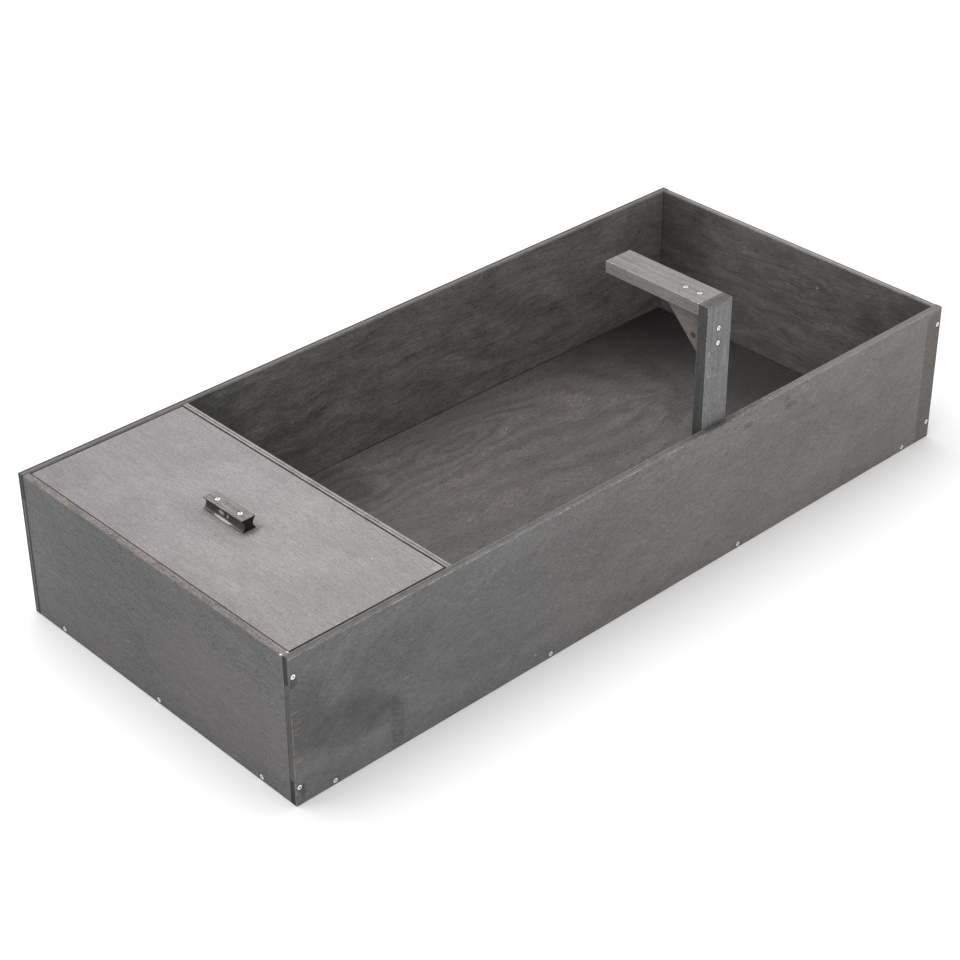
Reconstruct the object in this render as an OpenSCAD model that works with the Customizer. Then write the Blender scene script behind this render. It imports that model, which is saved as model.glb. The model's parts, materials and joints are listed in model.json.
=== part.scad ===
// Open-topped plywood tray with a lidded hide at one end and a lamp bracket.
// Origin: centre of the footprint, on the surface that the tray stands on.
// +X runs along the tray towards its open end, +Y to the back panel, +Z is up.
// The lid is drawn closed and lifts straight out along +Z.

/* [Tray] */
// Outer length of the tray
tray_l = 1000; // [800:10:1400]
// Outer width of the tray
tray_w = 450; // [400:10:700]
// Height of the walls
wall_h = 180; // [160:5:260]
// Thickness of the plywood
ply_t = 9; // [8:0.5:12]
// Distance that the far end panel is set in from the long panels' ends
far_end_recess = 1; // [0:0.5:4]

/* [Hide] */
// Clear length of the hide compartment
hide_l = 201.4; // [160:0.2:280]
// Thickness of the divider
divider_t = 7; // [6:0.5:12]
// Width of the doorway through the divider
door_w = 150; // [100:5:180]
// Height of the doorway above the floor
door_h = 120; // [80:5:120]
// Radius of the doorway's top corners
door_corner_r = 35; // [5:1:45]

/* [Lid] */
// Gap between the lid and the near end panel
lid_end_gap = 0.8; // [0.4:0.1:1.5]
// Gap between the lid and the divider
lid_divider_gap = 1.8; // [0.4:0.1:2.5]
// Gap between the lid and each long panel
lid_side_gap = 2; // [0.4:0.1:2.5]
// Gap between the closed lid and its cleats
lid_rest_gap = 0.3; // [0.2:0.1:0.5]
// Side of the square cleats under the lid
cleat_s = 12; // [10:1:16]
// Distance from each end of a cleat to the long panel
cleat_end_gap = 12; // [5:1:40]

/* [Lid handle] */
// Length of the handle, across the tray
handle_l = 64; // [55:1:120]
// Width of the handle
handle_w = 17.8; // [17:0.2:30]
// Height of the handle
handle_h = 15; // [14:0.5:16]
// Distance that the handle sits behind the lid's middle line
handle_shift = 2.4; // [0:0.2:10]
// Depth of the finger cove along each long side
cove_depth = 3.4; // [1:0.2:4]
// Distance from the handle's centre to each of its screws
handle_screw_offset = 18.5; // [12:0.5:20]

/* [Lamp bracket] */
// Distance from the tray's near end to the bracket's centre line
bracket_x = 605; // [400:5:720]
// Width of the post and the arm
bracket_w = 38; // [30:1:60]
// Thickness of the post and the arm
bracket_t = 14; // [13:1:16]
// Height of the bracket's top above the ground
bracket_h = 330; // [300:5:450]
// Reach of the arm from the post's back face
arm_l = 136; // [100:2:180]
// Length of the gusset's two square sides
gusset_s = 60; // [56:1:80]
// Thickness of the gusset
gusset_t = 18; // [12:1:22]

/* [Screws] */
// Diameter of a screw's head
head_d = 6; // [5.5:0.5:7]
// Diameter of a screw's shank
shank_d = 3; // [2.5:0.5:3.5]
// Length of the screws through panels and battens
screw_l = 25; // [20:1:25]
// Length of the screws that hold the cleats
cleat_screw_l = 16; // [14:1:16]
// Length of the screws that hold the post to the front panel
post_screw_l = 20; // [18:1:20]
// Length of the screws through the lid's handle
handle_screw_l = 21; // [20:1:21]

/* [Hidden] */

$fn = 48;
stain = [0.36, 0.36, 0.37];
lid_stain = [0.62, 0.59, 0.58];
batten_stain = [0.5, 0.5, 0.5];
inner_stain = [0.24, 0.23, 0.22];
zinc = [0.85, 0.85, 0.87];

// Directions that a screw is driven in, as rotations of one that is driven down
to_back = [90, 0, 0];
to_front = [-90, 0, 0];
to_far_end = [0, -90, 0];
to_near_end = [0, 90, 0];
up = [180, 0, 0];
down = [0, 0, 0];

// The walls' faces
near_out = -tray_l / 2;
near_in = near_out + ply_t;
far_tip = tray_l / 2;
far_out = far_tip - far_end_recess;
far_in = far_out - ply_t;
front_out = -tray_w / 2;
front_in = front_out + ply_t;
inner_w = tray_w - 2 * ply_t;
divider_near = near_in + hide_l;
divider_mid = divider_near + divider_t / 2;

// The lid and its cleats
lid_l = hide_l - lid_end_gap - lid_divider_gap;
lid_w = inner_w - 2 * lid_side_gap;
lid_under = wall_h - ply_t;
cleat_l = inner_w - 2 * cleat_end_gap;
cleat_z = lid_under - lid_rest_gap - cleat_s;
handle_x = near_in + lid_end_gap + lid_l / 2;
cove_r = handle_h / 2;

// The bracket
post_mid_x = near_out + bracket_x;
post_mid_y = front_in + bracket_t / 2;
post_back = front_in + bracket_t;
arm_under = bracket_h - bracket_t;

// Screws: clearance round each one, and how far its head sits below the surface
screw_clear = 0.05;
head_sink = 0.15;
head_h = (head_d - shank_d) / 2;
head_rim = 0.3;
tip_l = 3;
tip_r = 0.3;
recess_l = 3.4;
recess_w = 0.7;
recess_depth = 1.1;
hole_mouth = 0.5;

// Places of the screws along the panels
foot_z = ply_t / 2;
foot_inset = 50;
foot_step = (tray_l - 2 * foot_inset) / 3;
foot_xs = [for (i = [0 : 3]) near_out + foot_inset + i * foot_step];
end_foot_inset = 55;
end_foot_ys = [for (i = [-1 : 1]) i * (tray_w / 2 - end_foot_inset)];
corner_inset = 5;
corner_zs = [22, wall_h - 22.5];
corner_xs = [near_out + corner_inset, far_tip - corner_inset];
leg_mid = (inner_w / 2 + door_w / 2) / 2;
leg_spread = 15;
divider_screw_ys = [for (side = [-1, 1], k = [-1, 1]) side * leg_mid + k * leg_spread];
cleat_screw_ys = [for (i = [-1 : 1]) i * cleat_l * 0.36];
post_wall_screw_zs = [50, 140];
arm_screw_ys = [for (d = [15.5, 35.5]) post_back + d];
gusset_screw_zs = [for (d = [17, 35]) arm_under - d];

// A block between two opposite corners
module block(low, high) {
    translate(low) cube(high - low);
}

// The outline of a countersunk screw driven down from z = 0, wider by grow all round
module screw_form(length, grow) {
    shank_r = shank_d / 2 + grow;
    head_r = head_d / 2 + grow;
    cone_top = -head_sink - head_rim;
    tip_top = tip_l - length;
    translate([0, 0, cone_top]) cylinder(r = head_r, h = head_rim);
    translate([0, 0, cone_top - head_h]) cylinder(r1 = shank_r, r2 = head_r, h = head_h);
    translate([0, 0, tip_top]) cylinder(r = shank_r, h = cone_top - head_h - tip_top);
    translate([0, 0, -length - grow]) cylinder(r1 = tip_r, r2 = shank_r, h = tip_l + grow);
}

// A cross-recessed wood screw, driven down from z = 0
module screw(length) {
    difference() {
        screw_form(length, 0);
        for (turn = [0, 90]) {
            rotate(turn) translate([-recess_l / 2, -recess_w / 2, -head_sink - recess_depth])
                cube([recess_l, recess_w, recess_depth + 1]);
        }
    }
}

// The hole that a screw is driven into, open at z = 0
module screw_hole(length) {
    screw_form(length, screw_clear);
    translate([0, 0, -head_sink - screw_clear])
        cylinder(r = head_d / 2 + screw_clear, h = head_sink + screw_clear + hole_mouth);
}

// Puts a copy of a screw or its hole at each point, turned to the way it is driven
module drive(points, turn) {
    for (p = points) {
        translate(p) rotate(turn) children();
    }
}

// Where each group of screws goes
module at_front_foot() drive([for (x = foot_xs) [x, front_out, foot_z]], to_back) children();
module at_back_foot() drive([for (x = foot_xs) [x, -front_out, foot_z]], to_front) children();
module at_near_foot() drive([for (y = end_foot_ys) [near_out, y, foot_z]], to_far_end) children();
module at_far_foot() drive([for (y = end_foot_ys) [far_out, y, foot_z]], to_near_end) children();
module at_front_corners() {
    drive([for (x = corner_xs, z = corner_zs) [x, front_out, z]], to_back) children();
}
module at_back_corners() {
    drive([for (x = corner_xs, z = corner_zs) [x, -front_out, z]], to_front) children();
}
module at_divider() drive([for (y = divider_screw_ys) [divider_mid, y, 0]], up) children();
module at_near_cleat() {
    points = [for (y = cleat_screw_ys) [near_in + cleat_s, y, cleat_z + cleat_s / 2]];
    drive(points, to_near_end) children();
}
module at_divider_cleat() {
    points = [for (y = cleat_screw_ys) [divider_near - cleat_s, y, cleat_z + cleat_s / 2]];
    drive(points, to_far_end) children();
}
module at_handle() {
    ys = [handle_shift - handle_screw_offset, handle_shift + handle_screw_offset];
    drive([for (y = ys) [handle_x, y, wall_h + handle_h]], down) children();
}
module at_post_wall() {
    drive([for (z = post_wall_screw_zs) [post_mid_x, post_back, z]], to_front) children();
}
module at_post_foot() drive([[post_mid_x, post_mid_y, 0]], up) children();
module at_arm() drive([for (y = arm_screw_ys) [post_mid_x, y, bracket_h]], down) children();
module at_gusset() drive([for (z = gusset_screw_zs) [post_mid_x, front_in, z]], to_back) children();

module base_panel() {
    color(inner_stain) difference() {
        block([near_in, front_in, 0], [far_in, -front_in, ply_t]);
        at_front_foot() screw_hole(screw_l);
        at_back_foot() screw_hole(screw_l);
        at_near_foot() screw_hole(screw_l);
        at_far_foot() screw_hole(screw_l);
        at_divider() screw_hole(screw_l);
        at_post_foot() screw_hole(screw_l);
    }
}

module front_panel() {
    color(stain) difference() {
        block([near_out, front_out, 0], [far_tip, front_in, wall_h]);
        at_front_foot() screw_hole(screw_l);
        at_front_corners() screw_hole(screw_l);
        at_post_wall() screw_hole(post_screw_l);
    }
}

module back_panel() {
    color(stain) difference() {
        block([near_out, -front_in, 0], [far_tip, -front_out, wall_h]);
        at_back_foot() screw_hole(screw_l);
        at_back_corners() screw_hole(screw_l);
    }
}

module near_end_panel() {
    color(stain) difference() {
        block([near_out, front_in, 0], [near_in, -front_in, wall_h]);
        at_near_foot() screw_hole(screw_l);
        at_front_corners() screw_hole(screw_l);
        at_back_corners() screw_hole(screw_l);
        at_near_cleat() screw_hole(cleat_screw_l);
    }
}

module far_end_panel() {
    color(stain) difference() {
        block([far_in, front_in, 0], [far_out, -front_in, wall_h]);
        at_far_foot() screw_hole(screw_l);
        at_front_corners() screw_hole(screw_l);
        at_back_corners() screw_hole(screw_l);
    }
}

// The doorway through the divider, square at the floor and round at its top corners
module doorway() {
    slit = divider_t + 2;
    straight_h = door_h - door_corner_r;
    translate([divider_near - 1, 0, ply_t]) {
        translate([0, -door_w / 2, -1]) cube([slit, door_w, straight_h + 1]);
        translate([0, door_corner_r - door_w / 2, 0]) cube([slit, door_w - 2 * door_corner_r, door_h]);
        for (side = [-1, 1]) {
            translate([0, side * (door_w / 2 - door_corner_r), straight_h])
                rotate([0, 90, 0]) cylinder(r = door_corner_r, h = slit, $fn = 96);
        }
    }
}

module divider_panel() {
    color(stain) difference() {
        block([divider_near, front_in, ply_t], [divider_near + divider_t, -front_in, wall_h]);
        doorway();
        at_divider() screw_hole(screw_l);
        at_divider_cleat() screw_hole(cleat_screw_l);
    }
}

module near_lid_cleat() {
    color(batten_stain) difference() {
        block([near_in, -cleat_l / 2, cleat_z], [near_in + cleat_s, cleat_l / 2, cleat_z + cleat_s]);
        at_near_cleat() screw_hole(cleat_screw_l);
    }
}

module divider_lid_cleat() {
    near_face = divider_near - cleat_s;
    color(batten_stain) difference() {
        block([near_face, -cleat_l / 2, cleat_z], [divider_near, cleat_l / 2, cleat_z + cleat_s]);
        at_divider_cleat() screw_hole(cleat_screw_l);
    }
}

module lid_panel() {
    lid_x = near_in + lid_end_gap;
    color(lid_stain) difference() {
        block([lid_x, -lid_w / 2, lid_under], [lid_x + lid_l, lid_w / 2, wall_h]);
        at_handle() screw_hole(handle_screw_l);
    }
}

// The handle's section: a rectangle with a round cove hollowed out of each side
module handle_section() {
    cove_mid = handle_w / 2 - cove_depth + cove_r;
    difference() {
        translate([-handle_w / 2, 0]) square([handle_w, handle_h]);
        for (side = [-1, 1]) {
            translate([side * cove_mid, handle_h / 2]) circle(r = cove_r, $fn = 96);
        }
    }
}

module lid_handle() {
    color(inner_stain) difference() {
        translate([handle_x, handle_shift + handle_l / 2, wall_h])
            rotate([90, 0, 0]) linear_extrude(handle_l) handle_section();
        at_handle() screw_hole(handle_screw_l);
    }
}

module bracket_post() {
    side = bracket_w / 2;
    color(batten_stain) difference() {
        block([post_mid_x - side, front_in, ply_t], [post_mid_x + side, post_back, bracket_h]);
        at_post_wall() screw_hole(post_screw_l);
        at_post_foot() screw_hole(screw_l);
        at_gusset() screw_hole(screw_l);
    }
}

module bracket_arm() {
    side = bracket_w / 2;
    arm_tip = post_back + arm_l;
    color(batten_stain) difference() {
        block([post_mid_x - side, post_back, arm_under], [post_mid_x + side, arm_tip, bracket_h]);
        at_arm() screw_hole(screw_l);
    }
}

module bracket_gusset() {
    color(inner_stain) difference() {
        translate([post_mid_x - gusset_t / 2, post_back, arm_under])
            rotate([90, 0, 90]) linear_extrude(gusset_t)
                polygon([[0, 0], [0, -gusset_s], [gusset_s, 0]]);
        at_arm() screw_hole(screw_l);
        at_gusset() screw_hole(screw_l);
    }
}

module front_foot_screws() color(zinc) at_front_foot() screw(screw_l);
module back_foot_screws() color(zinc) at_back_foot() screw(screw_l);
module near_foot_screws() color(zinc) at_near_foot() screw(screw_l);
module far_foot_screws() color(zinc) at_far_foot() screw(screw_l);
module front_corner_screws() color(zinc) at_front_corners() screw(screw_l);
module back_corner_screws() color(zinc) at_back_corners() screw(screw_l);
module divider_screws() color(zinc) at_divider() screw(screw_l);
module near_cleat_screws() color(zinc) at_near_cleat() screw(cleat_screw_l);
module divider_cleat_screws() color(zinc) at_divider_cleat() screw(cleat_screw_l);
module lid_handle_screws() color(zinc) at_handle() screw(handle_screw_l);
module post_wall_screws() color(zinc) at_post_wall() screw(post_screw_l);
module post_foot_screw() color(zinc) at_post_foot() screw(screw_l);
module arm_screws() color(zinc) at_arm() screw(screw_l);
module gusset_screws() color(zinc) at_gusset() screw(screw_l);

base_panel();
front_panel();
back_panel();
near_end_panel();
far_end_panel();
divider_panel();
near_lid_cleat();
divider_lid_cleat();
lid_panel();
lid_handle();
bracket_post();
bracket_arm();
bracket_gusset();
front_foot_screws();
back_foot_screws();
near_foot_screws();
far_foot_screws();
front_corner_screws();
back_corner_screws();
divider_screws();
near_cleat_screws();
divider_cleat_screws();
lid_handle_screws();
post_wall_screws();
post_foot_screw();
arm_screws();
gusset_screws();
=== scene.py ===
import json
import math

import bmesh
import bpy
from mathutils import Matrix, Vector, noise


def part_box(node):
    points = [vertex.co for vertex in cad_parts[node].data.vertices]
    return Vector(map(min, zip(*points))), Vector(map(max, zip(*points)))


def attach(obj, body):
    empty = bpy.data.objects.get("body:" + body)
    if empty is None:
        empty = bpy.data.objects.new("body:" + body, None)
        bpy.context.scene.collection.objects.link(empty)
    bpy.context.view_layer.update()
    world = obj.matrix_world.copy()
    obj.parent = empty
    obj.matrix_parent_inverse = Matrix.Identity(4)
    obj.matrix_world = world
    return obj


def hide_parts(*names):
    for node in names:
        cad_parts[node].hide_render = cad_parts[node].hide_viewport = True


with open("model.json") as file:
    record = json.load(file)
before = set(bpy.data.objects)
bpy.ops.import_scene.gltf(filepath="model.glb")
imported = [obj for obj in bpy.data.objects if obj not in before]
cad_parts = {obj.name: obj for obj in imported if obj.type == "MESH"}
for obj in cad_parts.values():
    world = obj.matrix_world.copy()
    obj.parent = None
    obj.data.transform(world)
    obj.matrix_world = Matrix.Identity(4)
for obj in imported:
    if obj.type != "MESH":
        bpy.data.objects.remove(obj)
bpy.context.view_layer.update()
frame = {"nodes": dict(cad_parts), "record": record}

MM = 0.001
WELD = 0.001 * MM       # vertices closer than this are one
NODES = frame["nodes"]
BODY_OF = {node: body for body, nodes in frame["record"]["behaviour"]["bodies"].items() for node in nodes}
SCREW_GROUPS = sorted(node for node in NODES if "screw" in node)
X, Y, Z = 0, 1, 2


def mm(x, y, z):
    return Vector((x, y, z)) * MM


# ------------------------------------------------------------------ shapes

def link(obj):
    bpy.context.scene.collection.objects.link(obj)
    return obj


def object_of(name, bm):
    mesh = bpy.data.meshes.new(name)
    bm.to_mesh(mesh)
    bm.free()
    return link(bpy.data.objects.new(name, mesh))


def solids_of(mesh):
    """The vertices of each separate solid in a mesh."""
    bm = bmesh.new()
    bm.from_mesh(mesh)
    bmesh.ops.remove_doubles(bm, verts=bm.verts, dist=WELD)
    seen = set()
    solids = []
    for start in bm.verts:
        if start in seen:
            continue
        seen.add(start)
        group = [start]
        for v in group:
            for e in v.link_edges:
                other = e.other_vert(v)
                if other not in seen:
                    seen.add(other)
                    group.append(other)
        solids.append([v.co.copy() for v in group])
    bm.free()
    return solids


class Screw:
    """Where a CAD screw is: the middle of its head's face, the way it is driven, and its length."""

    def __init__(self, points):
        shank = 2.5 * MM    # nothing but the head is further from the axis than this
        self.low = Vector([min(p[k] for p in points) for k in range(3)])
        self.high = Vector([max(p[k] for p in points) for k in range(3)])
        size = self.high - self.low
        self.axis = max(range(3), key=lambda k: size[k])
        self.length = size[self.axis]
        middle = (self.low + self.high) / 2
        sides = [k for k in range(3) if k != self.axis]
        wide = [p for p in points if max(abs(p[k] - middle[k]) for k in sides) > shank]
        at_low = sum(p[self.axis] for p in wide) / len(wide) < middle[self.axis]
        self.head = middle.copy()
        self.head[self.axis] = (self.low if at_low else self.high)[self.axis]
        self.inward = Vector((0, 0, 0))
        self.inward[self.axis] = 1 if at_low else -1

    def touches(self, point, reach):
        return all(self.low[k] - reach < point[k] < self.high[k] + reach for k in range(3))


SCREWS = {group: [Screw(points) for points in solids_of(NODES[group].data)] for group in SCREW_GROUPS}
ALL_SCREWS = [screw for screws in SCREWS.values() for screw in screws]


def chip_cutter(chips, seed):
    """Small rough lumps, which a boolean takes out of a board. Each is a centre and its half sizes."""
    bm = bmesh.new()
    for number, (centre, half) in enumerate(chips):
        lump = bmesh.ops.create_icosphere(bm, subdivisions=2, radius=1)["verts"]
        for v in lump:
            rough = 1 + 0.5 * noise.noise(v.co * 1.7 + Vector((seed, number, 0)))
            v.co = Vector([c * h * rough for c, h in zip(v.co, half)]) + centre
    return object_of("chips", bm)


def groove_cutter(node, count, depth, width):
    """Shallow V grooves along the top of a node, from end to end."""
    low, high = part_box(node)
    above, below = high.z + depth, high.z - depth
    bm = bmesh.new()
    for i in range(count):
        middle = low.x + (high.x - low.x) * (i + 0.6) / (count + 0.2)
        section = [(middle - width, above), (middle + width, above), (middle, below)]
        ends = [[bm.verts.new((x, y, z)) for x, z in section] for y in (low.y - depth, high.y + depth)]
        near, far = ends
        bm.faces.new(near)
        bm.faces.new(far[::-1])
        for k in range(3):
            bm.faces.new([near[k - 1], far[k - 1], far[k], near[k]])
    bmesh.ops.recalc_face_normals(bm, faces=bm.faces)
    return object_of("grooves", bm)


def cut(mesh, cutter):
    """The mesh with the cutter's shape taken out. The cutter is deleted."""
    body = link(bpy.data.objects.new("uncut", mesh))
    boolean = body.modifiers.new("cut", "BOOLEAN")
    boolean.object = cutter
    boolean.solver = "EXACT"
    shown = bpy.context.evaluated_depsgraph_get()
    result = bpy.data.meshes.new_from_object(body.evaluated_get(shown))
    bpy.data.objects.remove(body)
    bpy.data.objects.remove(cutter)
    return result


def shade_smoothly(piece, angle=28):
    """Smooth normals that follow the large flat faces, with creases at turns sharper than the angle."""
    piece.data.shade_smooth()
    piece.data.set_sharp_from_angle(angle=math.radians(angle))
    weighted = piece.modifiers.new("flat faces stay flat", "WEIGHTED_NORMAL")
    weighted.keep_sharp = True
    weighted.weight = 100


def stand_for(piece, node):
    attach(piece, BODY_OF[node])
    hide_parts(node)


def eased_board(node, ease, cutters=()):
    """A piece that stands for a wooden CAD node: the same board with its arrises eased and chipped."""
    flat, arris_angle = math.radians(0.5), math.radians(25)
    bm = bmesh.new()
    bm.from_mesh(NODES[node].data)
    bmesh.ops.remove_doubles(bm, verts=bm.verts, dist=WELD)
    bmesh.ops.dissolve_limit(bm, angle_limit=flat, verts=bm.verts, edges=bm.edges)
    arrises = []
    for e in bm.edges:
        middle = (e.verts[0].co + e.verts[1].co) / 2
        beside_screw = any(screw.touches(middle, 1 * MM) for screw in ALL_SCREWS)
        if e.calc_face_angle(0) > arris_angle and not beside_screw:
            arrises.append(e)
    bmesh.ops.bevel(
        bm, geom=arrises, offset=ease, segments=2, profile=0.5, affect="EDGES", clamp_overlap=True)
    mesh = bpy.data.meshes.new(node + "_board")
    bm.to_mesh(mesh)
    bm.free()
    for cutter in cutters:
        mesh = cut(mesh, cutter)
    piece = link(bpy.data.objects.new(node + "_board", mesh))
    shade_smoothly(piece)
    stand_for(piece, node)
    return piece


# ------------------------------------------------------------------ screws

# A screw's outline in millimetres. Depths are counted down from the face of its head.
SIDES = 24                                      # how many flats make a round
SHANK_R, ROOT_R = 1.45, 1.05                    # outside and inside the thread
HEAD = [(0, 0.02), (1.2, 0.02), (2.45, 0.06), (2.82, 0.14), (3.0, 0.32), (2.9, 0.5), (SHANK_R, 1.9)]
POINT = [(0.95, -2.6), (0.3, -0.3), (0, 0)]     # with depths counted from the tip
NECK, THREAD_TOP, THREAD_END = 3.4, 4.0, 4      # the end counts back from the tip
PITCH, CREST = 1.3, 0.45

RECESS_R, RECESS_DEPTH, RECESS_TIP = 1.45 * MM, 1.1 * MM, -1.6 * MM
screw_meshes = {}                               # by length, so that each length is made once


def lathe(bm, outline):
    """A round solid about Z from (radius, height) points, closed at both ends on the axis."""
    rings = []
    turns = [2 * math.pi * k / SIDES for k in range(SIDES)]
    for radius, height in outline[1:-1]:
        rings.append([bm.verts.new((radius * math.cos(t), radius * math.sin(t), height)) for t in turns])
    first, last = [bm.verts.new((0, 0, outline[k][1])) for k in (0, -1)]
    for k in range(SIDES):
        bm.faces.new([first, rings[0][k - 1], rings[0][k]])
        bm.faces.new([last, rings[-1][k], rings[-1][k - 1]])
    for upper, lower in zip(rings, rings[1:]):
        for k in range(SIDES):
            bm.faces.new([upper[k - 1], lower[k - 1], lower[k], upper[k]])
    bmesh.ops.recalc_face_normals(bm, faces=bm.faces)


def cross_cutters():
    """The cross recess of a screw: two tapered blades and a round middle that narrows to a point."""
    above, half_width = 0.3 * MM, 0.42 * MM
    middle_r, bottom_r = 0.95 * MM, 0.5 * MM
    narrowed_length, narrowed_width = 0.35, 0.6     # of the blades' lower ends
    cutters = []
    for turned in (False, True):
        bm = bmesh.new()
        for v in bmesh.ops.create_cube(bm, size=1)["verts"]:
            top = v.co.z > 0
            long_side = math.copysign(RECESS_R * (1 if top else narrowed_length), v.co.x)
            short_side = math.copysign(half_width * (1 if top else narrowed_width), v.co.y)
            height = above if top else -RECESS_DEPTH
            v.co = (-short_side, long_side, height) if turned else (long_side, short_side, height)
        cutters.append(object_of("blade", bm))
    bm = bmesh.new()
    lathe(bm, [(0, above), (middle_r, above), (middle_r, 0), (bottom_r, -RECESS_DEPTH), (0, RECESS_TIP)])
    cutters.append(object_of("cone", bm))
    return cutters


def screw_of(length):
    """A countersunk screw of a length in millimetres, its head's face at height 0 and its point down."""
    if length in screw_meshes:
        return screw_meshes[length]
    outline = HEAD + [(SHANK_R, NECK)]
    depth = THREAD_TOP
    while depth < length - THREAD_END:
        outline += [(ROOT_R, depth), (SHANK_R, depth + CREST), (ROOT_R, depth + 2 * CREST)]
        depth += PITCH
    outline += [(radius, length + from_tip) for radius, from_tip in POINT]
    bm = bmesh.new()
    lathe(bm, [(radius * MM, -down * MM) for radius, down in outline])
    mesh = bpy.data.meshes.new("screw")
    bm.to_mesh(mesh)
    bm.free()
    for cutter in cross_cutters():
        mesh = cut(mesh, cutter)
    screw_meshes[length] = mesh
    return mesh


def in_recess(point):
    """Whether a point in a screw's own frame is on the walls of its recess."""
    aside = math.hypot(point.x, point.y)
    return aside < RECESS_R + 0.15 * MM and RECESS_TIP - 0.1 * MM < point.z < -0.2 * MM


def dress_screws(group, plate, recess):
    """A piece that stands for a group of CAD screws: threaded, recessed, and each turned its own way."""
    bm = bmesh.new()
    for number, screw in enumerate(SCREWS[group]):
        angle = (number * 37 + len(group) * 23) % 90    # a cross looks the same after 90 degrees
        upright = (-screw.inward).to_track_quat("Z", "Y").to_matrix().to_4x4()
        turn = Matrix.Rotation(math.radians(angle), 4, "Z")
        before = len(bm.verts)
        bm.from_mesh(screw_of(round(screw.length / MM, 1)))
        bm.verts.ensure_lookup_table()
        added = bm.verts[before:]
        for face in {f for v in added for f in v.link_faces}:
            # the faces in the recess take the second, dark material: painted shade in the recess
            face.material_index = 1 if in_recess(face.calc_center_median()) else 0
        bmesh.ops.transform(bm, matrix=Matrix.Translation(screw.head) @ upright @ turn, verts=added)
    piece = object_of(group + "_dressed", bm)
    piece.data.materials.append(plate)
    piece.data.materials.append(recess)
    shade_smoothly(piece, angle=35)
    stand_for(piece, group)


# ------------------------------------------------------------------ materials

def tone(red, green, blue):
    """A colour as it looks on a screen, 0 to 255, as the light it stands for."""
    return tuple(((c / 255 + 0.055) / 1.055) ** 2.4 for c in (red, green, blue)) + (1,)


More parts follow.
